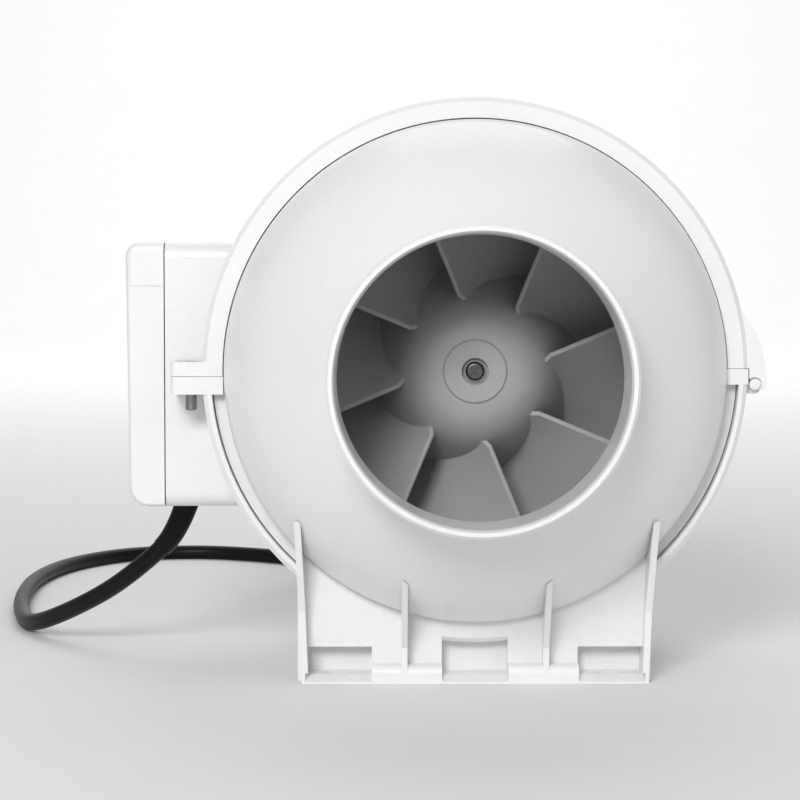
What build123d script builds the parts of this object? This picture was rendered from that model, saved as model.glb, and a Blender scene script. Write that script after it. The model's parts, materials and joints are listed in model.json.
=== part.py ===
from build123d import *
import math
import os

# Mixed-flow inline duct fan for 100 mm round duct, in millimetres.
# +Y is the fan's axis, from the inlet (-Y) to the outlet (+Y). +Z is up, and the terminal box is at -X.
# The origin is on the base's underside, below the middle of the axis.

# Driving dimensions
AXIS_HEIGHT = 104.7
HALF_LENGTH = 126.0
SPIGOT_RADIUS = 49.0
SPIGOT_BORE_RADIUS = 46.2
SPIGOT_END = 104.0  # distance from the middle to where the spigot meets the cone
CASING_RADIUS = 84.5
CONE_BULGE = [(66.5, -85.5), (77.6, -71.0), (82.8, -61.5)]  # (radius, y) on the cone's outside
CONE_END = -55.0
WALL = 2.5
RING_OUTER_RADIUS = 91.9
RING_INNER_RADIUS = 85.0
CHANNEL_RADIUS = 89.0  # inside of the clamp ring's outer band
FLANGE_RADIUS = 88.65
RING_NEAR = 34.0  # the clamp rings' inner and outer faces, from the middle
RING_FAR = 54.0
LIP = 2.5
RING_CHAMFER = 1.5
LUG_ROUNDING = 2.0
CONE_FLANGE_NEAR = 45.0
CONE_FLANGE_FAR = 49.0
CASING_FLANGE_FAR = 43.5
CASING_FLANGE_NEAR = 39.5
GAP = 0.3

BASE_HALF_WIDTH = 58.35
BASE_HALF_WIDTH_TOP = 60.5
BASE_WALL_TOP = 56.0
BASE_HALF_LENGTH = 61.0
BASE_WALL = 2.2
BASE_FLOOR = 2.5
APRON_HEIGHT = 6.0
RIB_X = 23.8
RIB_TOP = 38.0
RIB_TIP_Y = 80.5  # how far out the ribs and the walls reach under the cone
WALL_TIP_Y = 74.0
POCKET_WIDTH = 22.3
POCKET_X = 46.0
POCKET_HEIGHT = 11.5
MIDDLE_POCKET_HEIGHT = 15.0
POCKET_BACK = 46.5
RAMP_START = -56.5
RAMP_EDGE = 0.6
SLOT_X = 46.0
SLOT_Y = 53.5
SLOT_WIDTH = 4.5
SLOT_LENGTH = 9.0

SPLIT_LEFT = 102.9  # height of the strap's end on the screw side
SPLIT_RIGHT = 105.5  # height of the strap's end on the hinge side
LUG_LEFT = -102.6
LUG_TOP = 107.8
LUG_BOTTOM = 96.9
HEAD_SEAT = 104.6  # bottom of the counterbore that hides the clamp screw's head
SCREW_X = -96.3
SCREW_TIP = 91.0
SCREW_RADIUS = 1.95
LOOSE_HOLE_RADIUS = 2.45
HINGE_X = 94.4
HINGE_Z = 100.2
PIN_RADIUS = 1.8
HOOK_BORE_RADIUS = 1.86
HOOK_RADIUS = 3.9
HOOK_BOTTOM = 98.0
FLARE_CENTRE = (57.2, 100.7)
FLARE_RADIUS = 41.2
FLARE_START = (88.8, 127.1)
KNUCKLE_HALF = 4.2  # half the length of the bracket's knuckle, in the middle of the ring
RING_MIDDLE = (RING_NEAR + RING_FAR) / 2

BLADE_COUNT = 8
BLADE_OFFSET = 5.06  # how far a blade's straight leading edge passes from the axis
BLADE_FIRST_ANGLE = 23.0
BLADE_SWEEP = 62.0
BLADE_THICKNESS = 1.3
BLADE_FRONT = -49.0
BLADE_BACK = -11.0
NOSE_Y = -55.0
NOSE_RADIUS = 10.3
NOSE_RECESS_RADIUS = 4.6
NOSE_RECESS_DEPTH = 3.4
HUB_BACK = -8.0
HUB_BACK_RADIUS = 44.0
TIP_FRONT_RADIUS = 56.5
TIP_BACK_RADIUS = 73.6
SHROUD_GAP = 1.2
SHAFT_RADIUS = 3.0
RUNNING_GAP = 0.05
VANE_COUNT = 9
VANE_ANGLE = 24.0  # between a vane's chord and the axis
VANE_CHORD = 40.0
VANE_THICKNESS = 1.8
VANE_RING_RADIUS = 75.2  # inside of the ring that the vanes reach
VANE_RING_BACK = 43.0
HOUSING_RADIUS = 46.0
HOUSING_FRONT = -6.2
HOUSING_BACK = 60.0
TAIL_END = 94.0

BOX_FACE_X = -119.6
BOX_SEAM_X = -106.0
BOX_BOTTOM = 56.8
BOX_TOP = 148.0
BOX_HALF_DEPTH = 33.0
BOX_WALL = 2.2
COVER_LOW_ROUNDING = 7.0
COVER_HIGH_ROUNDING = 4.8
SEAM_GAP = 0.4  # between the box's edge and the cover's, in front of the seal
CREASE_Z = 133.2  # where the cover's sides step in
CREASE_DEPTH = 0.45
LEAD_Y = 22.0
LEAD_RADIUS = 2.6

CORD_RADIUS = 3.2
CORD_EXIT = (-100.8, 0.0, 55.3)
GLAND_RADIUS = 4.4
GLAND_FLANGE_RADIUS = 7.6
# The cord's route from the strain relief's tip down to the floor, out in a wide loop and back
# behind the fan to the coil.
CORD_POINTS = [
    (-110.6, 5.0, 38.6),
    (-124.0, 13.0, 26.0),
    (-145.0, 29.0, 13.0),
    (-165.0, 52.0, 3.2),
    (-174.0, 92.0, 3.2),
    (-180.0, 140.0, 3.2),
    (-182.0, 195.0, 3.2),
    (-174.0, 245.0, 3.2),
    (-152.0, 284.0, 3.2),
    (-120.0, 294.0, 3.2),
    (-92.0, 283.0, 3.2),
    (-68.0, 264.0, 3.2),
    (-46.0, 250.4, 3.2),
    (-26.0, 248.4, 3.2),
]
COIL_CENTRE = (0.0, 215.0)
COIL_RADIUS = 34.0
COIL_TURNS_ACROSS = 2
PLUG_Y = 184.0

REACH = 400.0  # longer than anything in the fan, for cutting tools


def block(x0, x1, y0, y1, z0, z1):
    """A box between two corners."""
    return Pos((x0 + x1) / 2, (y0 + y1) / 2, (z0 + z1) / 2) * Box(x1 - x0, y1 - y0, z1 - z0)


def rod(x, z, radius, y0, y1):
    """A round bar along Y."""
    return Pos(x, (y0 + y1) / 2, z) * Rot(90, 0, 0) * Cylinder(radius, y1 - y0)


def post(x, y, radius, z0, z1):
    """A round bar along Z."""
    return Pos(x, y, (z0 + z1) / 2) * Cylinder(radius, z1 - z0)


def bar_x(y, z, radius, x0, x1):
    """A round bar along X."""
    return Pos((x0 + x1) / 2, y, z) * Rot(0, 90, 0) * Cylinder(radius, x1 - x0)


def tube(outer, inner, y0, y1):
    """A round tube about the fan's axis."""
    return rod(0, AXIS_HEIGHT, outer, y0, y1) - rod(0, AXIS_HEIGHT, inner, y0 - 1, y1 + 1)


def lathe(*points):
    """A solid turned about the fan's axis from (radius, y) points."""
    return Pos(0, 0, AXIS_HEIGHT) * revolve(make_face(Polyline(*points, close=True)), axis=Axis.Y)


def lathe_lines(*lines):
    """A solid turned about the fan's axis from joined lines in the (radius, y) plane."""
    outline = Curve() + list(lines)
    return Pos(0, 0, AXIS_HEIGHT) * revolve(make_face(outline), axis=Axis.Y)


def plate_xz(y0, y1, *points):
    """A flat plate with an outline of (x, z) points, from y0 to y1."""
    face = make_face(Polyline(*[(x, y0, z) for x, z in points], close=True))
    return extrude(face, amount=y1 - y0, dir=(0, 1, 0))


def ring_band():
    """The outer band of the inlet clamp ring, with chamfered rims."""
    return lathe(
        (CHANNEL_RADIUS, -RING_FAR),
        (RING_OUTER_RADIUS - RING_CHAMFER, -RING_FAR),
        (RING_OUTER_RADIUS, -RING_FAR + RING_CHAMFER),
        (RING_OUTER_RADIUS, -RING_NEAR - RING_CHAMFER),
        (RING_OUTER_RADIUS - RING_CHAMFER, -RING_NEAR),
        (CHANNEL_RADIUS, -RING_NEAR),
    )


def lug(bottom, top):
    """A lug beside the ring for the clamp screw, with rounded corners on its free side."""
    body = block(LUG_LEFT, -89.5, -RING_FAR, -RING_NEAR, bottom, top)
    corners = body.edges().filter_by(Axis.Z).group_by(Axis.X)[0]
    return fillet(corners, LUG_ROUNDING)


def other_end(shape):
    """The mirror image of a piece, for the outlet end of the fan."""
    return mirror(shape, about=Plane.XZ)


def above(z, low_x=-REACH, high_x=REACH):
    """All the space above a height, for cutting."""
    return block(low_x, high_x, -REACH, REACH, z, REACH)


def below(z, low_x=-REACH, high_x=REACH):
    """All the space below a height, for cutting."""
    return block(low_x, high_x, -REACH, REACH, -REACH, z)


# --- Inlet and outlet cones -------------------------------------------------------------------

def end_cone():
    """The inlet end: a duct spigot with a rounded lip, and a cone that ends in a clamp flange."""
    inner_start = (CASING_RADIUS - WALL, -54.6)
    inner_end = (SPIGOT_BORE_RADIUS - 0.5, -SPIGOT_END + 1.0)
    outside = Spline(
        (SPIGOT_RADIUS, -SPIGOT_END), *CONE_BULGE, (CASING_RADIUS, CONE_END), tangents=[(1, 1), (0, 1)]
    )
    flange = Polyline(
        (CASING_RADIUS, CONE_END),
        (CASING_RADIUS, -CONE_FLANGE_FAR),
        (FLANGE_RADIUS, -CONE_FLANGE_FAR),
        (FLANGE_RADIUS, -CONE_FLANGE_NEAR),
        (CASING_RADIUS - WALL, -CONE_FLANGE_NEAR),
        inner_start,
    )
    inside = Spline(
        inner_start, (80.3, -60.4), (75.4, -69.4), (64.5, -83.6), inner_end, tangents=[(0, -1), (-1, -1)]
    )
    spigot = Polyline(
        inner_end,
        (SPIGOT_BORE_RADIUS, -HALF_LENGTH + 1.5),
        (SPIGOT_BORE_RADIUS + 0.6, -HALF_LENGTH),
        (SPIGOT_RADIUS - 0.9, -HALF_LENGTH),
        (SPIGOT_RADIUS, -HALF_LENGTH + 1.2),
        (SPIGOT_RADIUS, -SPIGOT_END),
    )
    return lathe_lines(outside, flange, inside, spigot)


def gasket():
    """Flat ring seal between the cone's flange and the casing's."""
    return tube(FLANGE_RADIUS - 0.5, CASING_RADIUS - 1.5, -CONE_FLANGE_NEAR, -CASING_FLANGE_FAR)


# --- Mounting bracket -------------------------------------------------------------------------

def side_wall(side):
    """One side of the base, leaning outwards, with its top corners reaching out under the cones."""
    wall = plate_xz(
        -WALL_TIP_Y,
        WALL_TIP_Y,
        (side * (BASE_HALF_WIDTH - BASE_WALL), 0),
        (side * BASE_HALF_WIDTH, 0),
        (side * BASE_HALF_WIDTH_TOP, BASE_WALL_TOP),
        (side * (BASE_HALF_WIDTH_TOP - BASE_WALL), BASE_WALL_TOP),
    )
    below_tip = front_wedge(WALL_TIP_Y, BASE_WALL_TOP, 24.0)
    return wall - below_tip - other_end(below_tip)


def front_wedge(tip_y, tip_z, foot_z):
    """Cutting tool for the space in front of the base, below an edge that slopes out to a tip."""
    points = [
        (-REACH, -BASE_HALF_LENGTH, -1),
        (-REACH, -BASE_HALF_LENGTH, foot_z),
        (-REACH, -tip_y, tip_z),
        (-REACH, -tip_y - 5, tip_z),
        (-REACH, -tip_y - 5, -1),
    ]
    return extrude(make_face(Polyline(*points, close=True)), amount=2 * REACH, dir=(1, 0, 0))


def pocket_boxes():
    """(x, height) of each recess along one end of the base."""
    return [(-POCKET_X, POCKET_HEIGHT), (0.0, MIDDLE_POCKET_HEIGHT), (POCKET_X, POCKET_HEIGHT)]


def base_end():
    """The inlet end of the base: front wall, apron, ribs, recesses and half of the clamp ring."""
    half = BASE_HALF_WIDTH - 0.5
    end = block(-half - 2, half + 2, -RING_FAR, -RING_FAR + 2, 0, 62)
    apron = block(-half, half, -BASE_HALF_LENGTH, -RING_FAR + 1, 0, APRON_HEIGHT)
    apron = fillet(apron.edges().filter_by(Axis.X).group_by(Axis.Y)[0], APRON_HEIGHT / 2 - 0.2)
    end += apron
    below_rib = front_wedge(RIB_TIP_Y, RIB_TOP, 12.0)
    for x in (-RIB_X, RIB_X):
        end += block(x - 1, x + 1, -RIB_TIP_Y, -RING_FAR, 0, RIB_TOP) - below_rib
    for x, height in pocket_boxes():
        outer = POCKET_WIDTH / 2 + 1.8
        end += block(
            max(x - outer, -half), min(x + outer, half), -RING_FAR, -POCKET_BACK + 1.8, 0, height + 1.8
        )
    for x, height in pocket_boxes():
        wide = POCKET_WIDTH / 2
        end -= block(x - wide, x + wide, -BASE_HALF_LENGTH - 1, -POCKET_BACK, BASE_FLOOR, height)
    return end


def recess_ramp(x):
    """Cutting tool that slopes a recess's floor down to the base's front edge."""
    wide = POCKET_WIDTH / 2
    points = [
        (x - wide, -BASE_HALF_LENGTH - 1, RAMP_EDGE),
        (x - wide, -BASE_HALF_LENGTH, RAMP_EDGE),
        (x - wide, RAMP_START, BASE_FLOOR),
        (x - wide, RAMP_START, BASE_FLOOR + 1),
        (x - wide, -BASE_HALF_LENGTH - 1, BASE_FLOOR + 1),
    ]
    return extrude(make_face(Polyline(*points, close=True)), amount=2 * wide, dir=(1, 0, 0))


def ring_half():
    """The bracket's lower half of the inlet clamp ring, with its end blocks, lug and hinge knuckle."""
    band = ring_band()
    band += tube(CHANNEL_RADIUS + 0.5, RING_INNER_RADIUS, -RING_NEAR - LIP, -RING_NEAR)
    ledge_left = block(-92.8, -84.8, -RING_FAR, -CONE_FLANGE_FAR - GAP, LUG_BOTTOM, SPLIT_LEFT)
    ledge_right = block(84.8, 92.0, -RING_FAR, -CONE_FLANGE_FAR - GAP, HINGE_Z, SPLIT_RIGHT)
    lower = band - above(SPLIT_LEFT, high_x=0) - above(SPLIT_RIGHT, low_x=0)
    lower += ledge_left + ledge_right
    lower += lug(LUG_BOTTOM, SPLIT_LEFT)
    lower += block(
        90.0, HINGE_X, -RING_MIDDLE - KNUCKLE_HALF, -RING_MIDDLE + KNUCKLE_HALF, HINGE_Z - 3.4, HINGE_Z + 3.4
    )
    lower += rod(HINGE_X, HINGE_Z, 3.4, -RING_MIDDLE - KNUCKLE_HALF, -RING_MIDDLE + KNUCKLE_HALF)
    lower -= rod(HINGE_X, HINGE_Z, PIN_RADIUS, -RING_FAR, -RING_NEAR)
    lower -= post(SCREW_X, -RING_MIDDLE, LOOSE_HOLE_RADIUS, LUG_BOTTOM - 1, SPLIT_LEFT + 1)
    lower -= clamp_nut(extra=0.1, low=LUG_BOTTOM - 1)
    return lower


def clamp_nut(extra=0.0, low=LUG_BOTTOM + 0.4):
    """Hexagon nut held in the lower lug. Its bore stands for the thread, with clearance."""
    outline = RegularPolygon(radius=4.04 + extra, side_count=6)
    nut = Pos(SCREW_X, -RING_MIDDLE, low) * extrude(outline, amount=LUG_BOTTOM + 3.6 + extra - low)
    if extra == 0.0:
        nut -= post(SCREW_X, -RING_MIDDLE, LOOSE_HOLE_RADIUS, LUG_BOTTOM - 1, SPLIT_LEFT)
    return nut


def mounting_bracket():
    """The base, both lower clamp-ring halves and the walls that carry them, in one moulding."""
    body = block(
        -BASE_HALF_WIDTH + 0.5, BASE_HALF_WIDTH - 0.5, -BASE_HALF_LENGTH, BASE_HALF_LENGTH, 0, BASE_FLOOR
    )
    for side in (-1, 1):
        body += side_wall(side)
    body -= block(-REACH, REACH, -RING_NEAR + 4, RING_NEAR - 4, 24, REACH)
    end = base_end()
    body += end
    body += other_end(end)
    cone_clear = [(radius + 1.0, y) for radius, y in CONE_BULGE]
    cone_space = lathe(
        (0, -REACH),
        (40, -REACH),
        (SPIGOT_RADIUS + 1.0, -SPIGOT_END),
        *cone_clear,
        (CASING_RADIUS + GAP, CONE_END),
        (CASING_RADIUS + GAP, -CONE_FLANGE_FAR - GAP),
        (CHANNEL_RADIUS, -CONE_FLANGE_FAR - GAP),
        (CHANNEL_RADIUS, 0),
        (0, 0),
    )
    body -= cone_space
    body -= other_end(cone_space)
    ring = ring_half()
    body += ring
    body += other_end(ring)
    for x, _ in pocket_boxes():
        ramp = recess_ramp(x)
        body -= ramp
        body -= other_end(ramp)
    for x in (-SLOT_X, SLOT_X):
        for y in (-SLOT_Y, SLOT_Y):
            slot = Pos(x, y, -1) * extrude(SlotOverall(SLOT_LENGTH, SLOT_WIDTH), amount=BASE_FLOOR + 2)
            body -= slot
    return body


def hinge_pin():
    """Plain pin through the bracket's knuckle, with the strap's hooks on its two ends."""
    return rod(HINGE_X, HINGE_Z, PIN_RADIUS, -RING_FAR + 1.6, -RING_NEAR - 1.6)


# --- Clamp straps -----------------------------------------------------------------------------

def strap():
    """The upper clamp-ring half: a channel section, a lug for the screw and two hinge hooks."""
    band = ring_band()
    band += tube(CHANNEL_RADIUS + 0.5, RING_INNER_RADIUS, -RING_FAR, -RING_FAR + LIP)
    band += tube(CHANNEL_RADIUS + 0.5, RING_INNER_RADIUS, -RING_NEAR - LIP, -RING_NEAR)
    joint_gap = 0.15
    upper = band - below(SPLIT_LEFT + joint_gap, high_x=0) - below(SPLIT_RIGHT + joint_gap, low_x=0)
    upper += lug(SPLIT_LEFT + joint_gap, LUG_TOP) - rod(
        0, AXIS_HEIGHT, CHANNEL_RADIUS + 0.5, -RING_FAR, -RING_NEAR
    )
    upper -= post(SCREW_X, -RING_MIDDLE, SCREW_RADIUS + 0.06, LUG_BOTTOM, LUG_TOP + 1)
    upper -= post(SCREW_X, -RING_MIDDLE, 4.7, HEAD_SEAT, LUG_TOP + 1)
    hook_front = -RING_FAR + 1.5
    hook_back = -RING_NEAR - 1.5
    flare_end_z = 103.0
    flare_end_x = FLARE_CENTRE[0] + math.sqrt(FLARE_RADIUS**2 - (flare_end_z - FLARE_CENTRE[1]) ** 2)
    flare_mid = math.radians(20.0)
    flare_mid_point = (
        FLARE_CENTRE[0] + FLARE_RADIUS * math.cos(flare_mid),
        hook_front,
        FLARE_CENTRE[1] + FLARE_RADIUS * math.sin(flare_mid),
    )
    start = (FLARE_START[0] - 1.2, hook_front, FLARE_START[1] + 0.6)
    flare_end = (flare_end_x, hook_front, flare_end_z)
    outline = ThreePointArc(start, flare_mid_point, flare_end)
    outline += Polyline(
        flare_end,
        (HINGE_X + HOOK_RADIUS, hook_front, HOOK_BOTTOM + 0.8),
        (HINGE_X + HOOK_RADIUS - 0.8, hook_front, HOOK_BOTTOM),
        (HINGE_X + 1.5, hook_front, HOOK_BOTTOM),
        (HINGE_X, hook_front, HINGE_Z),
        (HINGE_X - 1.9, hook_front, HINGE_Z + 2.2),
        (HINGE_X - 1.9, hook_front, SPLIT_RIGHT + joint_gap),
        (90.5, hook_front, SPLIT_RIGHT + joint_gap),
        start,
    )
    hook = extrude(make_face(outline), amount=hook_back - hook_front, dir=(0, 1, 0))
    hook -= rod(0, AXIS_HEIGHT, CHANNEL_RADIUS + 0.5, -RING_FAR, -RING_NEAR)
    upper += hook
    upper -= rod(HINGE_X, HINGE_Z, HOOK_BORE_RADIUS, -RING_FAR, -RING_NEAR)
    upper -= rod(HINGE_X, HINGE_Z, HOOK_BORE_RADIUS + 0.6, -RING_FAR, hook_front + 1.2)
    slot_low = -RING_MIDDLE - KNUCKLE_HALF - GAP
    slot_high = -RING_MIDDLE + KNUCKLE_HALF + GAP
    upper -= rod(HINGE_X, HINGE_Z, 4.7, slot_low, slot_high)
    upper -= block(HINGE_X - 2.5, HINGE_X + 6, slot_low, slot_high, HINGE_Z - 5, HINGE_Z + 1.5)
    return upper


def clamp_screw():
    """Pan-head machine screw, sunk in the strap's lug and down into the nut."""
    screw = post(SCREW_X, -RING_MIDDLE, SCREW_RADIUS, SCREW_TIP, HEAD_SEAT + 1.2)
    screw = chamfer(screw.edges().sort_by(Axis.Z)[0], 0.5)
    head = post(SCREW_X, -RING_MIDDLE, 3.9, HEAD_SEAT + 0.6, LUG_TOP - 0.1)
    head = fillet(head.edges().sort_by(Axis.Z)[-1], 1.1)
    screw += head
    for angle in (45, 135):
        screw -= Pos(SCREW_X, -RING_MIDDLE, LUG_TOP) * Rot(0, 0, angle) * Box(4.2, 0.9, 2.6)
    return screw


def clamp_washer():
    """Flat washer under the clamp screw's head."""
    ring = post(SCREW_X, -RING_MIDDLE, 4.4, HEAD_SEAT, HEAD_SEAT + 0.6)
    return ring - post(SCREW_X, -RING_MIDDLE, SCREW_RADIUS + 0.08, HEAD_SEAT - 1, LUG_TOP)


# --- Centre module ----------------------------------------------------------------------------

def lead_hole(radius):
    """Cutting tool for the motor lead's way out to the terminal box."""
    return bar_x(LEAD_Y, AXIS_HEIGHT, radius, -REACH / 2, -HOUSING_RADIUS + 6)


def centre_casing():
    """Round casing with a clamp flange at each end."""
    shell = tube(CASING_RADIUS, CASING_RADIUS - WALL, -CASING_FLANGE_FAR, CASING_FLANGE_FAR)
    flange = tube(FLANGE_RADIUS, CASING_RADIUS - 0.5, -CASING_FLANGE_FAR, -CASING_FLANGE_NEAR)
    shell += flange
    shell += other_end(flange)
    shell -= lead_hole(LEAD_RADIUS + 1.2)
    return shell


def impeller_shroud():
    """Conical wall around the blade tips, with a rounded inlet lip, inside the casing."""
    outer = CASING_RADIUS - WALL - GAP
    front = TIP_FRONT_RADIUS + SHROUD_GAP
    back = TIP_BACK_RADIUS + SHROUD_GAP
    return lathe(
        (front + 1.6, -51.0),
        (front + 6.0, -52.5),
        (front + 10.0, -50.5),
        (outer, -43.0),
        (outer, -40.5),
        (front + 9.2, -48.0),
        (front + 6.0, -50.0),
        (front + 3.4, -48.0),
        (back + 2.4, -9.0),
        (outer, -9.0),
        (outer, -6.6),
        (back, -6.6),
        (front, -47.6),
    )


def guide_vane_ring():
    """Outer ring behind the impeller, with a flange at each end against the casing."""
    outer = CASING_RADIUS - WALL - GAP
    ring = tube(VANE_RING_RADIUS + 2.2, VANE_RING_RADIUS, HOUSING_FRONT, VANE_RING_BACK)
    ring += tube(outer, VANE_RING_RADIUS + 1, HOUSING_FRONT, HOUSING_FRONT + WALL)
    ring += tube(outer, VANE_RING_RADIUS + 1, VANE_RING_BACK - WALL, VANE_RING_BACK)
    return ring - lead_hole(LEAD_RADIUS + 0.5)


def motor_housing():
    """Round housing for the motor, with a front plate behind the impeller."""
    housing = tube(HOUSING_RADIUS, HOUSING_RADIUS - WALL, HOUSING_FRONT, HOUSING_BACK)
    housing += tube(HOUSING_RADIUS - 1, 9.6, -1.8, 0.6)
    return housing - lead_hole(LEAD_RADIUS + 0.5)


def guide_vanes():
    """Stationary vanes that hold the motor's housing in the ring and straighten the air."""
    reach = VANE_RING_RADIUS - HOUSING_RADIUS
    middle = (VANE_RING_RADIUS + HOUSING_RADIUS) / 2
    passage = tube(
        VANE_RING_RADIUS - RUNNING_GAP, HOUSING_RADIUS + RUNNING_GAP, HOUSING_FRONT, VANE_RING_BACK
    )
    vanes = []
    for k in range(VANE_COUNT):
        turn = 20 + k * 360 / VANE_COUNT
        sheet = Pos(middle, 16, 0) * Rot(VANE_ANGLE, 0, 0) * Box(reach + 8, VANE_CHORD, VANE_THICKNESS)
        vane = (Pos(0, 0, AXIS_HEIGHT) * Rot(0, turn, 0) * sheet) & passage
        vanes.append(vane - lead_hole(LEAD_RADIUS + 0.5))
    return Compound(children=vanes)


def tail_fairing():
    """Rounded cap that closes the motor's housing on the outlet side."""
    return lathe(
        (0, TAIL_END),
        (12, TAIL_END - 1),
        (24, TAIL_END - 7),
        (36, HOUSING_BACK + 16),
        (43, HOUSING_BACK + 6),
        (HOUSING_RADIUS, HOUSING_BACK),
        (HOUSING_RADIUS - 2.5, HOUSING_BACK),
        (40.8, HOUSING_BACK + 5),
        (34, HOUSING_BACK + 14.2),
        (22.6, TAIL_END - 9),
        (11, TAIL_END - 3.2),
        (0, TAIL_END - 2.2),
    )


def blade():
    """One impeller blade: a straight leading edge that turns about the axis as it goes back."""
    def swept_edge(radius):
        along = math.sqrt(radius**2 - BLADE_OFFSET**2)
        steps = 6
        points = []
        for k in range(steps + 1):
            share = k / steps
            turn = math.radians(BLADE_FIRST_ANGLE - BLADE_SWEEP * share)
            x = along * math.cos(turn) + BLADE_OFFSET * math.sin(turn)
            z = along * math.sin(turn) - BLADE_OFFSET * math.cos(turn)
            points.append((x, BLADE_FRONT + (BLADE_BACK - BLADE_FRONT) * share, z))
        return Spline(*points).edge()

    face = Face.make_surface_from_curves(swept_edge(14.0), swept_edge(82.0))
    sheet = thicken(face, BLADE_THICKNESS / 2, both=True)
    kept = lathe(
        (24.0, -47.0),
        (26.5, BLADE_FRONT),
        (TIP_FRONT_RADIUS, BLADE_FRONT),
        (TIP_FRONT_RADIUS + 0.4, -47.6),
        (TIP_BACK_RADIUS, -8.4),
        (TIP_BACK_RADIUS, -7.0),
        (HUB_BACK_RADIUS - 2.0, -7.0),
        (33.6, -27.0),
    )
    return (Pos(0, 0, AXIS_HEIGHT) * sheet) & kept


def impeller():
    """Mixed-flow impeller: a hollow conical hub with a boss on the shaft, and the blades."""
    recess_floor = NOSE_Y + NOSE_RECESS_DEPTH
    step = (NOSE_RADIUS + 0.7, NOSE_Y + 0.7)
    back = (HUB_BACK_RADIUS, HUB_BACK)
    nose = Polyline(
        (1.7, recess_floor + 1.4),
        (1.7, recess_floor),
        (NOSE_RECESS_RADIUS, recess_floor),
        (NOSE_RECESS_RADIUS, NOSE_Y),
        (NOSE_RADIUS, NOSE_Y),
        step,
    )
    outside = Spline(
        step, (16.6, NOSE_Y + 1.9), (24.8, NOSE_Y + 8.6), (30.4, NOSE_Y + 18.6), back, tangents=[(1, 0.1), (1, 2)]
    )
    inside = Polyline(
        back,
        (HUB_BACK_RADIUS - 2.4, HUB_BACK),
        (36.0, -19.4),
        (30.0, -29.6),
        (23.0, -42.6),
        (18.0, -48.0),
        (9.0, -50.0),
        (9.0, -12.0),
        (SHAFT_RADIUS + RUNNING_GAP, -12.0),
        (SHAFT_RADIUS + RUNNING_GAP, recess_floor + 1.4),
        (1.7, recess_floor + 1.4),
    )
    hub = lathe_lines(nose, outside, inside)
    centre = Pos(0, 0, AXIS_HEIGHT)
    wheel = hub
    one = blade()
    for k in range(BLADE_COUNT):
        wheel += centre * Rot(0, k * 360 / BLADE_COUNT, 0) * centre.inverse() * one
    return wheel


def impeller_screw():
    """Cross-head screw in the nose, into the end of the shaft."""
    floor = NOSE_Y + NOSE_RECESS_DEPTH
    screw = rod(0, AXIS_HEIGHT, 3.2, floor - 2.6, floor - 0.6)
    screw = fillet(screw.edges().sort_by(Axis.Y)[0], 1.0)
    screw += rod(0, AXIS_HEIGHT, 1.5, floor - 1.0, floor + 11)
    for angle in (45, 135):
        screw -= Pos(0, floor - 2.5, AXIS_HEIGHT) * Rot(0, angle, 0) * Box(3.8, 1.8, 0.9)
    return screw


def motor_shaft():
    """Motor shaft with a tapped hole in its front end."""
    shaft = rod(0, AXIS_HEIGHT, SHAFT_RADIUS, NOSE_Y + NOSE_RECESS_DEPTH + 1.5, 54)
    return shaft - rod(0, AXIS_HEIGHT, 1.55, NOSE_Y, NOSE_Y + NOSE_RECESS_DEPTH + 14)


def motor_parts():
    """The motor's pieces, as (node, solid) pairs."""
    teeth = tube(38, 31, 12, 40)
    for k in range(12):
        tooth = Pos(26.6, 26, 0) * Box(9.8, 28, 4.0)
        teeth += Pos(0, 0, AXIS_HEIGHT) * Rot(0, k * 30, 0) * tooth
    teeth &= tube(38, 22.4, 12, 40)
    windings = tube(30.4, 24, 5, 11.8)
    windings += other_end(tube(30.4, 24, -47, -40.2))
    front_cap = lathe(
        (9.1, 1.0), (39.5, 1.0), (39.5, 11.9), (36.8, 11.9), (36.8, 3.4), (13, 3.4), (13, 9), (9.1, 9)
    )
    rear_cap = lathe(
        (9.1, 53.0), (39.5, 53.0), (39.5, 40.1), (36.8, 40.1), (36.8, 50.6), (13, 50.6), (13, 45), (9.1, 45)
    )
    bolt_space = []
    bolts = []
    for k in range(4):
        angle = math.radians(45 + 90 * k)
        x = 34.4 * math.cos(angle)
        z = AXIS_HEIGHT + 34.4 * math.sin(angle)
        bolts.append(rod(x, z, 1.5, 1.2, 54.5) + rod(x, z, 2.9, 53.05, 55.2))
        bolt_space.append(rod(x, z, 1.75, -2, 60))
    for space in bolt_space:
        teeth -= space
        front_cap -= space
        rear_cap -= space
    front_cap -= tube(9.0, 0.5, 0, 12)
    bearing_bore = SHAFT_RADIUS + RUNNING_GAP
    return [
        ("stator_core", teeth),
        ("stator_windings", windings),
        ("motor_front_cap", front_cap),
        ("motor_rear_cap", rear_cap),
        ("motor_bolts", Compound(children=bolts)),
        ("rotor_core", tube(21.8, SHAFT_RADIUS + 0.02, 12, 40)),
        ("front_bearing", tube(9.0, bearing_bore, 1.2, 8.8)),
        ("rear_bearing", tube(9.0, bearing_bore, 45.2, 52.8)),
    ]


# --- Terminal box -----------------------------------------------------------------------------

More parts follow.
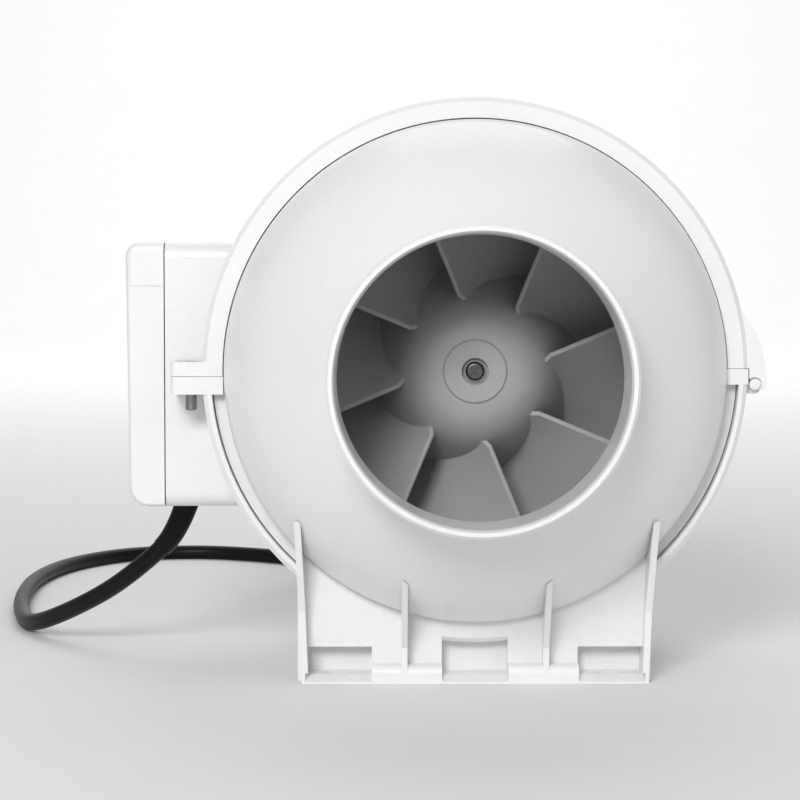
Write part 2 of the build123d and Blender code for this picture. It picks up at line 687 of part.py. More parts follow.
def terminal_box():
    """Box on the casing's side: curved back against the casing, open towards the cover."""
    outer = block(BOX_SEAM_X, -66, -BOX_HALF_DEPTH, BOX_HALF_DEPTH, BOX_BOTTOM, BOX_TOP)
    outer = fillet(outer.edges().filter_by(Axis.X), 5.0)
    inner = block(
        BOX_SEAM_X - 1,
        -66,
        -BOX_HALF_DEPTH + BOX_WALL,
        BOX_HALF_DEPTH - BOX_WALL,
        BOX_BOTTOM + BOX_WALL,
        BOX_TOP - BOX_WALL,
    )
    inner = fillet(inner.edges().filter_by(Axis.X), 3.0)
    inner -= rod(0, AXIS_HEIGHT, CASING_RADIUS + 2.6, -50, 50)
    box = outer - rod(0, AXIS_HEIGHT, CASING_RADIUS + 0.2, -50, 50) - inner
    for y, z in cover_screw_places():
        boss = bar_x(y, z, 3.4, BOX_SEAM_X, -68) - rod(0, AXIS_HEIGHT, CASING_RADIUS + 0.2, -50, 50)
        box += boss - bar_x(y, z, 1.3, BOX_SEAM_X - 1, -92)
    box -= lead_hole(LEAD_RADIUS + 0.8)
    entry = post(CORD_EXIT[0], CORD_EXIT[1], GLAND_RADIUS + 0.15, BOX_BOTTOM - 1, BOX_BOTTOM + BOX_WALL + 1)
    box -= entry
    return box


def cover_screw_places():
    """(y, z) of the four cover screws."""
    y = BOX_HALF_DEPTH - 6.5
    return [(side * y, z) for side in (-1, 1) for z in (BOX_BOTTOM + 6.8, BOX_TOP - 6.8)]


def cover_block(inset):
    """The cover's outside, or its hollow when inset: rounder at the bottom, leaning in a little."""
    outline = plate_xz(
        -BOX_HALF_DEPTH + inset,
        BOX_HALF_DEPTH - inset,
        (BOX_SEAM_X - SEAM_GAP, BOX_BOTTOM + inset),
        (BOX_FACE_X + 1.0 + inset, BOX_BOTTOM + inset),
        (BOX_FACE_X + inset, BOX_TOP - inset),
        (BOX_SEAM_X - SEAM_GAP, BOX_TOP - inset),
    )
    corners = [edge for edge in outline.edges().filter_by(Axis.Y) if edge.center().X < BOX_SEAM_X - 5]
    low, high = sorted(corners, key=lambda edge: edge.center().Z)
    outline = fillet(low, COVER_LOW_ROUNDING - inset)
    high = outline.edges().filter_by(Axis.Y).sort_by(Axis.Z)
    high = [edge for edge in high if edge.center().X < BOX_SEAM_X - 5][-1]
    return fillet(high, COVER_HIGH_ROUNDING - inset)


def terminal_box_cover():
    """Domed cover, a hollow shell that closes the box on the outside."""
    outer = cover_block(0.0)
    rim = [edge for edge in outer.edges() if abs(edge.center().Y) > BOX_HALF_DEPTH - 0.1]
    outer = fillet([edge for edge in rim if edge.center().X < BOX_SEAM_X - SEAM_GAP - 0.1], 2.6)
    cover = outer - cover_block(BOX_WALL)
    for side in (-1, 1):
        low_y = side * BOX_HALF_DEPTH - CREASE_DEPTH
        high_y = side * BOX_HALF_DEPTH + CREASE_DEPTH
        cover -= block(BOX_FACE_X - 2, BOX_SEAM_X - 0.8, low_y, high_y, BOX_BOTTOM - 1, CREASE_Z)
    for y, z in cover_screw_places():
        cover += bar_x(y, z, 3.4, BOX_FACE_X + 2.2, BOX_SEAM_X - SEAM_GAP)
        cover -= bar_x(y, z, 1.7, BOX_FACE_X - 3, BOX_SEAM_X + 1)
        cover -= bar_x(y, z, 2.9, BOX_FACE_X - 3, BOX_FACE_X + 4.0)
    return cover


def cover_gasket():
    """Thin seal ring inside the seam between box and cover."""
    outer_y = BOX_HALF_DEPTH - BOX_WALL - 0.1
    ring = block(-107.4, -105.0, -outer_y, outer_y, BOX_BOTTOM + 2.3, BOX_TOP - 2.3)
    ring = fillet(ring.edges().filter_by(Axis.X), 2.9)
    ring -= block(-108, -104, -outer_y + 1.6, outer_y - 1.6, BOX_BOTTOM + 3.9, BOX_TOP - 3.9)
    for y, z in cover_screw_places():
        ring -= bar_x(y, z, 3.7, -110, -100)
    return ring


def cover_screws():
    """Four cover screws, recessed in the cover's face."""
    screws = []
    for y, z in cover_screw_places():
        screw = bar_x(y, z, 2.6, BOX_FACE_X + 1.6, BOX_FACE_X + 3.95)
        screw += bar_x(y, z, 1.2, BOX_FACE_X + 3.5, -93)
        for angle in (0, 90):
            screw -= Pos(BOX_FACE_X + 1.6, y, z) * Rot(angle, 0, 0) * Box(2.0, 3.2, 0.7)
        screws.append(screw)
    return Compound(children=screws)


def terminal_block():
    """Connector strip for the three cord wires, on the box's back wall."""
    strip = block(-103.5, -90.0, -14, 14, 84, 96)
    for k in range(3):
        y = (k - 1) * 9.0
        strip -= bar_x(y, 90, 2.2, -106, -97)
        strip -= post(-94.0, y, 1.3, 82, 98)
    return strip


def terminal_screws():
    """Three clamping screws of the connector strip."""
    screws = [bar_x((k - 1) * 9.0, 90, 2.0, -102.5, -97.1) for k in range(3)]
    return Compound(children=screws)


def run_capacitor():
    """Motor capacitor: a round-ended can across the box."""
    can = rod(-97.5, 131, 7.6, -20, 20)
    can = fillet(can.edges(), 1.5)
    return can


def capacitor_clip():
    """Spring clip that holds the capacitor on the box's back wall."""
    clip = rod(-97.5, 131, 8.9, -5, 5) - rod(-97.5, 131, 7.75, -6, 6)
    clip -= block(-112, -101, -6, 6, 120, 142)
    return clip


def cord_clamp():
    """Bridge that holds the cord just inside the box's bottom."""
    bridge = block(-105.5, -102.2, -11, 11, 63, 70)
    bridge += block(-105.5, -94.0, -11, -4.2, 63, 70)
    bridge += block(-105.5, -94.0, 4.2, 11, 63, 70)
    for y in (-7.6, 7.6):
        bridge -= bar_x(y, 66.5, 1.5, -107, -90)
    return bridge


def cord_clamp_screws():
    """Two screws that pull the cord's bridge down."""
    screws = []
    for y in (-7.6, 7.6):
        screws.append(bar_x(y, 66.5, 1.4, -106.2, -92) + bar_x(y, 66.5, 2.6, -107.8, -105.55))
    return Compound(children=screws)


def cord_gland():
    """Black entry sleeve: a body through the box's bottom, a flange and a tapered strain relief."""
    x, y, z = CORD_EXIT
    body = post(x, y, GLAND_RADIUS, z, BOX_BOTTOM + BOX_WALL + 1.2)
    body += post(x, y, GLAND_FLANGE_RADIUS, z, BOX_BOTTOM - 0.02)
    start = Vector(x, y, z + 1.4)
    tip = Vector(*CORD_POINTS[0])
    lean = Plane(origin=start, z_dir=tip - start)
    length = (tip - start).length
    sleeve = lean * Pos(0, 0, length / 2 + 1) * Cone(GLAND_RADIUS, CORD_RADIUS + 0.5, length + 2)
    sleeve -= above(BOX_BOTTOM - 0.3)
    first_run = Vector(*CORD_POINTS[1]) - tip
    sleeve -= Plane(origin=tip, z_dir=first_run) * Pos(0, 0, 5) * Cylinder(9, 10)
    return body + sleeve


# --- Cord, coil and plug ----------------------------------------------------------------------


def cord_radii(points):
    """The largest tangent arc that the runs at each corner allow."""
    radii = []
    for a, b, c in zip(points, points[1:], points[2:]):
        first = Vector(*b) - Vector(*a)
        second = Vector(*c) - Vector(*b)
        half_turn = math.radians(first.get_angle(second)) / 2
        radii.append(0.45 * min(first.length, second.length) / math.tan(half_turn))
    return radii


def power_cord():
    """The cord's tube along its route."""
    radii = cord_radii(CORD_POINTS)
    path = FilletPolyline(*CORD_POINTS, radius=radii)
    start_plane = Plane(origin=path @ 0, z_dir=path % 0)
    tube_solid = sweep(start_plane * Circle(CORD_RADIUS), path=path)
    section = math.pi * CORD_RADIUS**2
    print("cord radii", [round(r, 1) for r in radii])
    print("cord volume", round(tube_solid.volume), "section x length", round(section * path.length))
    print("cord length", round(path.length))
    return tube_solid


def cord_coil():
    """The outer shape of the put-away turns, with the straight lead-in and lead-out."""
    x, y = COIL_CENTRE
    width = COIL_TURNS_ACROSS * CORD_RADIUS
    ring = post(x, y, COIL_RADIUS + width, 0, 4 * CORD_RADIUS) - post(x, y, COIL_RADIUS - width, -1, 20)
    last = Vector(*CORD_POINTS[-1])
    heading = (last - Vector(*CORD_POINTS[-2])).normalized()
    thick = 2 * CORD_RADIUS
    lead_in = Plane(origin=last, x_dir=(0, 0, 1), z_dir=heading) * Pos(0, 0, 12) * Box(thick, thick, 24)
    out_x = x + COIL_RADIUS
    lead_out = block(out_x - CORD_RADIUS, out_x + CORD_RADIUS, PLUG_Y, y - 10, 0, thick)
    return ring + lead_in + lead_out


def coil_tie():
    """Flat tie round the coil's turns."""
    x, y = COIL_CENTRE
    width = COIL_TURNS_ACROSS * CORD_RADIUS + 0.3
    low_x = x - COIL_RADIUS - width
    high_x = x - COIL_RADIUS + width
    band = block(low_x - 1, high_x + 1, y - 4, y + 4, 0.0, 4 * CORD_RADIUS + 1.3)
    return band - block(low_x, high_x, y - 5, y + 5, -1, 4 * CORD_RADIUS + 0.3)


def mains_plug():
    """Moulded two-pin plug, lying on the floor at the cord's end."""
    x = COIL_CENTRE[0] + COIL_RADIUS
    relief = Pos(x, PLUG_Y - 8, CORD_RADIUS + 0.5) * Rot(90, 0, 0) * Cone(CORD_RADIUS + 0.4, 4.6, 16)
    relief &= block(x - 10, x + 10, PLUG_Y - 20, PLUG_Y, 0, 20)
    body = block(x - 8, x + 8, PLUG_Y - 38, PLUG_Y - 15, 0, 13)
    body = fillet(body.edges().filter_by(Axis.Y), 4.0)
    return body + relief


def plug_pins():
    """The plug's two round pins."""
    x = COIL_CENTRE[0] + COIL_RADIUS
    pins = [rod(x + side * 9.5 / 2, 6.5, 2.0, PLUG_Y - 57, PLUG_Y - 38) for side in (-1, 1)]
    return Compound(children=pins)


def main():
    os.makedirs("parts", exist_ok=True)
    cone = end_cone()
    seal = gasket()
    clamp = strap()
    pin = hinge_pin()
    screw = clamp_screw()
    washer = clamp_washer()
    nut = clamp_nut()
    nodes = {
        "mounting_bracket": mounting_bracket(),
        "inlet_cone": cone,
        "outlet_cone": other_end(cone),
        "inlet_gasket": seal,
        "outlet_gasket": other_end(seal),
        "front_strap": clamp,
        "rear_strap": other_end(clamp),
        "front_hinge_pin": pin,
        "rear_hinge_pin": other_end(pin),
        "front_clamp_screw": screw,
        "rear_clamp_screw": other_end(screw),
        "front_clamp_washer": washer,
        "rear_clamp_washer": other_end(washer),
        "front_clamp_nut": nut,
        "rear_clamp_nut": other_end(nut),
        "centre_casing": centre_casing(),
        "impeller_shroud": impeller_shroud(),
        "guide_vane_ring": guide_vane_ring(),
        "motor_housing": motor_housing(),
        "guide_vanes": guide_vanes(),
        "tail_fairing": tail_fairing(),
        "impeller": impeller(),
        "impeller_screw": impeller_screw(),
        "impeller_washer": tube(3.9, 1.6, NOSE_Y + NOSE_RECESS_DEPTH - 0.6, NOSE_Y + NOSE_RECESS_DEPTH),
        "motor_shaft": motor_shaft(),
        "motor_lead": bar_x(LEAD_Y, AXIS_HEIGHT, LEAD_RADIUS, -94, -40.5),
        "terminal_box": terminal_box(),
        "terminal_box_cover": terminal_box_cover(),
        "cover_gasket": cover_gasket(),
        "cover_screws": cover_screws(),
        "terminal_block": terminal_block(),
        "terminal_screws": terminal_screws(),
        "run_capacitor": run_capacitor(),
        "capacitor_clip": capacitor_clip(),
        "cord_clamp": cord_clamp(),
        "cord_clamp_screws": cord_clamp_screws(),
        "cord_gland": cord_gland(),
        "power_cord": power_cord(),
        "cord_coil": cord_coil(),
        "coil_tie": coil_tie(),
        "mains_plug": mains_plug(),
        "plug_pins": plug_pins(),
    }
    nodes.update(motor_parts())
    for name, shape in nodes.items():
        export_step(shape, f"parts/{name}.step")


main()
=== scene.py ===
import json
import math

import bmesh
import bpy
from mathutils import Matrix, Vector


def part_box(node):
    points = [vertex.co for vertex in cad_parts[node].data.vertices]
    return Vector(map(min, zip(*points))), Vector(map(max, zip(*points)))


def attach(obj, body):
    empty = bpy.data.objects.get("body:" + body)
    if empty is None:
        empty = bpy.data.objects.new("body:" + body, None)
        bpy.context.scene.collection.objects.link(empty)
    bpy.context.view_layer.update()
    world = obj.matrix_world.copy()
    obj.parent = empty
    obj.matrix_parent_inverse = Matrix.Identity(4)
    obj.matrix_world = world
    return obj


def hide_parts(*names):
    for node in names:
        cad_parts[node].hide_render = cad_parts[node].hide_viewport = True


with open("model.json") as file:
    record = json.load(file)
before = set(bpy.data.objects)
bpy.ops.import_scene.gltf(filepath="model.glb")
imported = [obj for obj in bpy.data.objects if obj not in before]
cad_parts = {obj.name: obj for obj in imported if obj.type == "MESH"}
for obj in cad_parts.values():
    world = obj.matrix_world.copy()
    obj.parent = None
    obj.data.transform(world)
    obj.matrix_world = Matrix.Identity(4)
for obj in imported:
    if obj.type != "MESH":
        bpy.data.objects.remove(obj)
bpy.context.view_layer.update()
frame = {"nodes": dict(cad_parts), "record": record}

# The cord's route, in metres, from the strain relief's tip to the coil's lead-in.
CORD_POINTS = [
    (-0.1106, 0.0050, 0.0386),
    (-0.1240, 0.0130, 0.0260),
    (-0.1450, 0.0290, 0.0130),
    (-0.1650, 0.0520, 0.0032),
    (-0.1740, 0.0920, 0.0032),
    (-0.1800, 0.1400, 0.0032),
    (-0.1820, 0.1950, 0.0032),
    (-0.1740, 0.2450, 0.0032),
    (-0.1520, 0.2840, 0.0032),
    (-0.1200, 0.2940, 0.0032),
    (-0.0920, 0.2830, 0.0032),
    (-0.0680, 0.2640, 0.0032),
    (-0.0460, 0.2504, 0.0032),
    (-0.0260, 0.2484, 0.0032),
]
CORD_DIAMETER = 0.0064
CORD_EXIT = Vector((-0.1008, 0.0, 0.0553))
RELIEF_START_RADIUS = 0.0043
RELIEF_END_RADIUS = 0.0036
COIL_CENTRE = Vector((0.0, 0.215))
COIL_RADIUS = 0.034
COIL_TURNS = 3.25
# Where the coiled cord changes place, in turns from its start.
COIL_CLIMB = (0.75, 0.98)
COIL_WIDENING = (1.5, 1.75)
COIL_DROP = (2.22, 2.5)
PLUG_Y = 0.184  # the cord's end of the plug
PLUG_LENGTH = 0.038
PIN_ROOT_DEPTH = 0.0002  # how far each pin starts inside the plug
PIN_HALF_SPACING = 0.00475
PIN_HEIGHT = 0.0065

BROAD_GRAIN = 14.0  # noise scale of the slow changes in colour and gloss
BROAD_DETAIL = 4.0
FINE_DETAIL = 3.0
TINT_RANGE = (0.3, 0.7)  # the noise values that give the darker colour and the full one
GLOSS_RANGE = (0.85, 1.15)  # the least and most roughness, as shares of the stated one
BUMP_DEPTH = 0.0004

CAMERA_PLACE = (-0.0303, -0.926, 0.1458)
CAMERA_TILT = 3.33  # degrees down from level
CAMERA_TURN = -0.33  # degrees about the vertical
CAMERA_LENS = 116.8  # mm, for a sensor 36 mm wide
WORLD_STRENGTH = 0.32


# --- Materials --------------------------------------------------------------------------------

def material(
    name, colour, darker, roughness, grain=900.0, bump=0.02, metallic=0.0, coat=0.0, specular=0.5
):
    """A procedural surface: colour, gloss and relief that follow a slow noise and a fine one."""
    made = bpy.data.materials.new(name)
    made.use_nodes = True
    nodes = made.node_tree.nodes
    links = made.node_tree.links
    shader = nodes["Principled BSDF"]
    shader.inputs["Metallic"].default_value = metallic
    shader.inputs["Coat Weight"].default_value = coat
    shader.inputs["Specular IOR Level"].default_value = specular
    place = nodes.new("ShaderNodeTexCoord")
    broad = nodes.new("ShaderNodeTexNoise")
    broad.inputs["Scale"].default_value = BROAD_GRAIN
    broad.inputs["Detail"].default_value = BROAD_DETAIL
    fine = nodes.new("ShaderNodeTexNoise")
    fine.inputs["Scale"].default_value = grain
    fine.inputs["Detail"].default_value = FINE_DETAIL
    links.new(place.outputs["Object"], broad.inputs["Vector"])
    links.new(place.outputs["Object"], fine.inputs["Vector"])
    tint = nodes.new("ShaderNodeValToRGB")
    tint.color_ramp.elements[0].color = (*darker, 1)
    tint.color_ramp.elements[0].position = TINT_RANGE[0]
    tint.color_ramp.elements[1].color = (*colour, 1)
    tint.color_ramp.elements[1].position = TINT_RANGE[1]
    # The average of the two noises picks the tint.
    mixed = nodes.new("ShaderNodeMath")
    mixed.operation = "MULTIPLY_ADD"
    mixed.inputs[1].default_value = 0.5
    half_fine = nodes.new("ShaderNodeMath")
    half_fine.operation = "MULTIPLY"
    half_fine.inputs[1].default_value = 0.5
    links.new(fine.outputs["Fac"], half_fine.inputs[0])
    links.new(broad.outputs["Fac"], mixed.inputs[0])
    links.new(half_fine.outputs[0], mixed.inputs[2])
    links.new(mixed.outputs[0], tint.inputs["Fac"])
    links.new(tint.outputs["Color"], shader.inputs["Base Color"])
    shine = nodes.new("ShaderNodeMapRange")
    shine.inputs["To Min"].default_value = roughness * GLOSS_RANGE[0]
    shine.inputs["To Max"].default_value = roughness * GLOSS_RANGE[1]
    links.new(broad.outputs["Fac"], shine.inputs["Value"])
    links.new(shine.outputs["Result"], shader.inputs["Roughness"])
    relief = nodes.new("ShaderNodeBump")
    relief.inputs["Strength"].default_value = bump
    relief.inputs["Distance"].default_value = BUMP_DEPTH
    links.new(fine.outputs["Fac"], relief.inputs["Height"])
    links.new(relief.outputs["Normal"], shader.inputs["Normal"])
    return made


MATERIALS = {
    "white_abs": material("white_abs", (0.86, 0.86, 0.865), (0.80, 0.80, 0.81), 0.34, coat=0.15),
    "grey_plastic": material(
        "grey_plastic", (0.50, 0.50, 0.505), (0.42, 0.42, 0.425), 0.45, 1500.0, 0.12
    ),
    "black_pvc": material(
        "black_pvc",
        (0.006, 0.006, 0.0065),
        (0.003, 0.003, 0.0035),
        0.42,
        1200.0,
        0.08,
        specular=0.18,
    ),
    "rubber": material("rubber", (0.03, 0.03, 0.03), (0.02, 0.02, 0.02), 0.8, 1200.0, 0.2),
    "steel": material("steel", (0.36, 0.36, 0.37), (0.26, 0.26, 0.27), 0.32, 700.0, 0.05, 1.0),
    "laminations": material(
        "laminations", (0.30, 0.31, 0.33), (0.18, 0.18, 0.20), 0.5, 900.0, 0.3, 0.9
    ),
    "copper": material("copper", (0.72, 0.32, 0.14), (0.48, 0.18, 0.07), 0.3, 600.0, 0.4, 0.9),
    "cast_aluminium": material(
        "cast_aluminium", (0.60, 0.61, 0.62), (0.48, 0.48, 0.5), 0.45, 500.0, 0.3, 0.9
    ),
    "brass": material("brass", (0.72, 0.55, 0.25), (0.58, 0.42, 0.17), 0.28, 700.0, 0.05, 1.0),
    "nylon": material("nylon", (0.75, 0.74, 0.70), (0.66, 0.65, 0.6), 0.5, 900.0, 0.08),
}
# Painted shade: a darker steel for the impeller's screw, standing in for the shade that falls on
# its head in the hub's recess.
SCREW_STEEL_PAINTED_SHADE = material(
    "screw_steel_painted_shade", (0.16, 0.16, 0.165), (0.10, 0.10, 0.105), 0.35, 700.0, 0.05, 0.9
)


def dress_cad_nodes():
    """Gives every CAD node its slot's material, and the impeller's screw a darker steel that
    paints in the shade of the hub's recess.
    """
    for entry in frame["record"]["subparts"]:
        surface = MATERIALS[entry["material_slot"]]
        # painted shade: the screw head is darkened for the shade in the hub's recess
        if entry["node"] == "impeller_screw":
            surface = SCREW_STEEL_PAINTED_SHADE
        mesh = frame["nodes"][entry["node"]].data
        mesh.materials.clear()
        mesh.materials.append(surface)


# --- Cord, coil and plug ----------------------------------------------------------------------

def ease(value, low, high):
    """0 below low, 1 above high, and smooth between."""
    share = min(1.0, max(0.0, (value - low) / (high - low)))
    return share * share * (3 - 2 * share)


def coil_points():
    """The coil's turns, clockwise from above: two layers of two, changing place one at a time.

    The cord climbs to the upper layer late in its first turn, moves outwards in the second half
    of the second, and drops back to the floor in the third.
    """
    per_turn = 24
    first_step = 2
    radius = CORD_DIAMETER / 2
    points = []
    for step in range(first_step, int(COIL_TURNS * per_turn) + 1):
        turn = step / per_turn
        angle = math.pi / 2 - 2 * math.pi * turn
        out = COIL_RADIUS - radius + 2 * radius * ease(turn, *COIL_WIDENING)
        height = radius + 2 * radius * (ease(turn, *COIL_CLIMB) - ease(turn, *COIL_DROP))
        x = COIL_CENTRE.x + out * math.cos(angle)
        y = COIL_CENTRE.y + out * math.sin(angle)
        points.append((x, y, height))
    return points


def power_cord():
    """The whole cord on one curve: its loop, the coil's turns and the last run into the plug."""
    x = COIL_CENTRE.x + COIL_RADIUS
    into_plug = [(x + 0.0012, PLUG_Y + 0.012, 0.0033), (x, PLUG_Y - 0.006, 0.0036)]
    route = CORD_POINTS + coil_points() + into_plug
    data = bpy.data.curves.new("power_cord_visual", "CURVE")
    data.dimensions = "3D"
    data.bevel_depth = CORD_DIAMETER / 2
    data.bevel_resolution = 8
    data.resolution_u = 10
    data.use_fill_caps = True
    spline = data.splines.new("NURBS")
    spline.points.add(len(route) - 1)
    for point, place in zip(spline.points, route):
        point.co = (*place, 1)
    spline.order_u = 3
    spline.use_endpoint_u = True
    cord = bpy.data.objects.new("power_cord_visual", data)
    bpy.context.collection.objects.link(cord)
    data.materials.append(MATERIALS["black_pvc"])
    return cord


def mesh_piece(name, build, slot, smooth_angle=35.0):
    """A new mesh object that build fills, with a material and smooth shading up to an angle."""
    mesh = bpy.data.meshes.new(name)
    work = bmesh.new()
    build(work)
    bmesh.ops.recalc_face_normals(work, faces=work.faces)
    work.to_mesh(mesh)
    work.free()
    mesh.materials.append(MATERIALS[slot])
    for face in mesh.polygons:
        face.use_smooth = True
    mesh.set_sharp_from_angle(angle=math.radians(smooth_angle))
    piece = bpy.data.objects.new(name, mesh)
    bpy.context.collection.objects.link(piece)
    return piece


def skin_rings(work, rings):
    """Joins rings of points into a closed tube with flat ends."""
    loops = [[work.verts.new(point) for point in ring] for ring in rings]
    for near, far in zip(loops, loops[1:]):
        for k in range(len(near)):
            after = (k + 1) % len(near)
            work.faces.new((near[k], near[after], far[after], far[k]))
    work.faces.new(list(reversed(loops[0])))
    work.faces.new(loops[-1])


def circle(count):
    """The (cosine, sine) of evenly spaced angles round a circle."""
    angles = [2 * math.pi * step / count for step in range(count)]
    return [(math.cos(angle), math.sin(angle)) for angle in angles]


def bent_strain_relief(work):
    """Tapered sleeve that bends from the box's bottom into the cord's first run."""
    inside_flange = 0.0012
    straight_end = 0.0085
    start = CORD_EXIT + Vector((0, 0, inside_flange))
    end = Vector(CORD_POINTS[0])
    first_run = (Vector(CORD_POINTS[1]) - end).normalized()
    bend = end - first_run * straight_end
    steps = 48
    rings = []
    for k in range(steps + 1):
        share = k / steps
        centre = start * (1 - share) ** 2 + bend * 2 * share * (1 - share) + end * share**2
        heading = ((bend - start) * (1 - share) + (end - bend) * share).normalized()
        side = heading.cross(Vector((0, 1, 0))).normalized()
        other = heading.cross(side)
        width = RELIEF_START_RADIUS * (1 - share) + RELIEF_END_RADIUS * share
        rings.append([centre + (side * c + other * s) * width for c, s in circle(32)])
    skin_rings(work, rings)


def round_flange(work):
    """The gland's flange against the box, with a rounded rim."""
    # (radius, height above the gland's lower face)
    profile = [(0.0066, 0.0), (0.0073, 0.0003), (0.0076, 0.0008), (0.0076, 0.00146)]
    rings = []
    for radius, rise in profile:
        rings.append([CORD_EXIT + Vector((radius * c, radius * s, rise)) for c, s in circle(40)])
    skin_rings(work, rings)


def plug_body(work):
    """Moulded plug: a rounded flat grip with finger ribs, narrowing into a strain relief."""
    x = COIL_CENTRE.x + COIL_RADIUS
    front = PLUG_Y - PLUG_LENGTH
    grip_height = 0.0064
    relief_drop = 0.085  # how fast the middle line comes down to the cord's
    squareness = 0.6  # 1 is an ellipse, and less is squarer
    # (distance behind the front, half width, half height)
    sections = [
        (0.0000, 0.0074, 0.0058),
        (0.0008, 0.0080, 0.0064),
        (0.0050, 0.0080, 0.0064),
        (0.0070, 0.0076, 0.0060),
        (0.0095, 0.0070, 0.0056),
        (0.0110, 0.0076, 0.0060),
        (0.0125, 0.0070, 0.0056),
        (0.0140, 0.0074, 0.0059),
        (0.0155, 0.0068, 0.0055),
        (0.0175, 0.0070, 0.0056),
        (0.0210, 0.0062, 0.0052),
        (0.0235, 0.0048, 0.0043),
        (0.0260, 0.0043, 0.0040),
        (0.0290, 0.0043, 0.0040),
        (0.0300, 0.0039, 0.0037),
        (0.0315, 0.0042, 0.0039),
        (0.0325, 0.0038, 0.0036),
        (0.0340, 0.0041, 0.0038),
        (0.0350, 0.0037, 0.0036),
        (0.0370, 0.0039, 0.0037),
        (0.0380, 0.0036, 0.0036),
    ]
    rings = []
    for along, wide, high in sections:
        centre_z = max(high, grip_height - along * relief_drop)
        ring = []
        for c, s in circle(40):
            out_x = math.copysign(abs(c) ** squareness, c) * wide
            out_z = math.copysign(abs(s) ** squareness, s) * high
            ring.append((x + out_x, front + along, centre_z + out_z))
        rings.append(ring)
    skin_rings(work, rings)


def rounded_pin(work, x):
    """A plug pin with a rounded tip."""
    base = PLUG_Y - PLUG_LENGTH + PIN_ROOT_DEPTH
    # (distance from the pin's root, radius)
    profile = [
        (0.0, 0.002),
        (0.0165, 0.002),
        (0.0182, 0.0017),
        (0.0189, 0.0011),
        (0.0192, 0.0004),
    ]
    rings = []
    for along, radius in profile:
        rings.append(
            [(x + radius * c, base - along, PIN_HEIGHT + radius * s) for c, s in circle(24)]
        )
    skin_rings(work, rings)


def both_pins(work):
    """The plug's two pins, as one mesh."""
    for side in (-1, 1):
        rounded_pin(work, COIL_CENTRE.x + COIL_RADIUS + side * PIN_HALF_SPACING)


def tie_band(work):
    """Flat strap over the coil's turns, open towards the floor, with bevelled shoulders."""
    low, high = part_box("coil_tie")
    middle_x = (low[0] + high[0]) / 2
    half_x = (high[0] - low[0]) / 2
    top = high[2]
    foot = 0.0002
    shoulder = 0.003
    inner_shoulder = 0.0034
    thick = 0.0009
    left, right = middle_x - half_x, middle_x + half_x
    outer = [
        (left, foot),
        (left, top - shoulder),
        (left + shoulder, top),
        (right - shoulder, top),
        (right, top - shoulder),
        (right, foot),
    ]
    inner = [
        (left + thick, foot),
        (left + thick, top - inner_shoulder),
        (left + inner_shoulder, top - thick),
        (right - inner_shoulder, top - thick),
        (right - thick, top - inner_shoulder),
        (right - thick, foot),
    ]
    rings = []
    for (outer_x, outer_z), (inner_x, inner_z) in zip(outer, inner):
        rings.append(
            [
                (outer_x, low[1], outer_z),
                (outer_x, high[1], outer_z),
                (inner_x, high[1], inner_z),
                (inner_x, low[1], inner_z),
            ]
        )
    skin_rings(work, rings)


def add_cord():
    """The cord with everything on it, each piece in place of its plain CAD solid."""
    cord = power_cord()
    relief = mesh_piece("strain_relief_visual", bent_strain_relief, "black_pvc", 50)
    flange = mesh_piece("gland_flange_visual", round_flange, "black_pvc")
    plug = mesh_piece("mains_plug_visual", plug_body, "black_pvc", 60)
    pins = mesh_piece("plug_pins_visual", both_pins, "brass", 50)
    tie = mesh_piece("coil_tie_visual", tie_band, "black_pvc", 40)
    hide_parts("power_cord", "cord_coil")
    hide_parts("cord_gland")
    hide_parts("mains_plug")
    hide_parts("plug_pins")
    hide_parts("coil_tie")
    for piece in (cord, relief, flange, plug, pins, tie):
        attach(piece, "root")


# --- Floor, light and camera ------------------------------------------------------------------

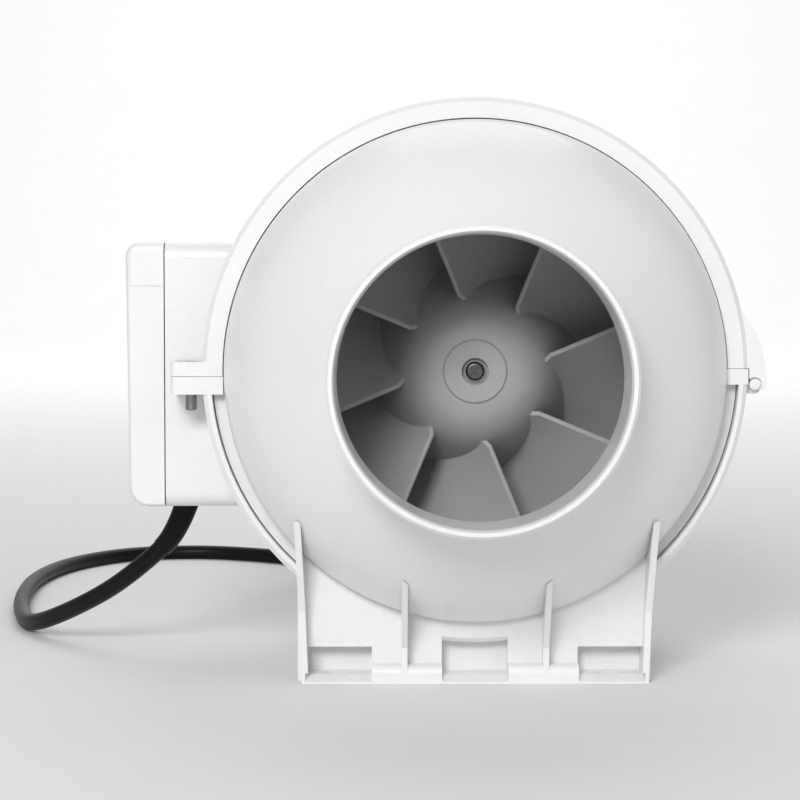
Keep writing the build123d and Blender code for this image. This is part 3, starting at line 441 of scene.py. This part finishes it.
def add_backdrop():
    """A pale floor that sweeps up into a wall far behind the fan, as one sheet."""
    near_edge = -2.5
    bend_start = 3.0
    bend_radius = 1.2
    wall_top = 4.0
    half_width = 6
    steps = 16
    profile = [(near_edge, 0.0)]
    for step in range(steps + 1):
        angle = math.radians(90 * step / steps)
        along = bend_start + bend_radius * math.sin(angle)
        profile.append((along, bend_radius - bend_radius * math.cos(angle)))
    profile.append((bend_start + bend_radius, wall_top))
    work = bmesh.new()
    left = [work.verts.new((-half_width, y, z)) for y, z in profile]
    right = [work.verts.new((half_width, y, z)) for y, z in profile]
    for k in range(len(profile) - 1):
        work.faces.new((left[k], right[k], right[k + 1], left[k + 1]))
    mesh = bpy.data.meshes.new("backdrop")
    work.to_mesh(mesh)
    work.free()
    for face in mesh.polygons:
        face.use_smooth = True
    paint = material("backdrop_paint", (0.86, 0.86, 0.86), (0.84, 0.84, 0.84), 0.8, 60.0, 0.01)
    mesh.materials.append(paint)
    backdrop = bpy.data.objects.new("backdrop", mesh)
    bpy.context.collection.objects.link(backdrop)


def add_light(name, place, size, target, power):
    """A square soft light that faces a point."""
    data = bpy.data.lights.new(name, "AREA")
    data.size = size
    data.energy = power
    light = bpy.data.objects.new(name, data)
    light.location = place
    light.rotation_mode = "QUATERNION"
    light.rotation_quaternion = (Vector(target) - light.location).to_track_quat("-Z", "Y")
    bpy.context.collection.objects.link(light)


def add_camera():
    """Nearly square on to the inlet, just above the fan's axis, 0.8 m from the rim."""
    data = bpy.data.cameras.new("camera")
    data.sensor_width = 36.0
    data.lens = CAMERA_LENS
    camera = bpy.data.objects.new("camera", data)
    camera.location = CAMERA_PLACE
    camera.rotation_euler = (math.radians(90 - CAMERA_TILT), 0, math.radians(CAMERA_TURN))
    bpy.context.collection.objects.link(camera)
    bpy.context.scene.camera = camera


def add_world():
    """Even white surroundings, and colours shown as they are."""
    world = bpy.data.worlds.new("studio")
    world.use_nodes = True
    shade = world.node_tree.nodes["Background"]
    shade.inputs["Color"].default_value = (1, 1, 1, 1)
    shade.inputs["Strength"].default_value = WORLD_STRENGTH
    bpy.context.scene.world = world
    bpy.context.scene.view_settings.view_transform = "Standard"


add_camera()
add_cord()
dress_cad_nodes()
add_backdrop()
add_world()
# (name, place, size, the point it faces, watts)
add_light("key", (-0.45, -1.85, 0.98), 0.6, (0, 0, 0.1), 25.5)
add_light("fill", (1.0, -1.4, 1.1), 0.9, (0, 0, 0.1), 4.0)
add_light("floor_light", (0.1, 1.5, 2.0), 1.6, (0.0, 0.8, 0.0), 8.0)
add_light("backdrop_light", (0.0, 2.2, 2.6), 2.0, (0, 4.2, 0.4), 60.0)
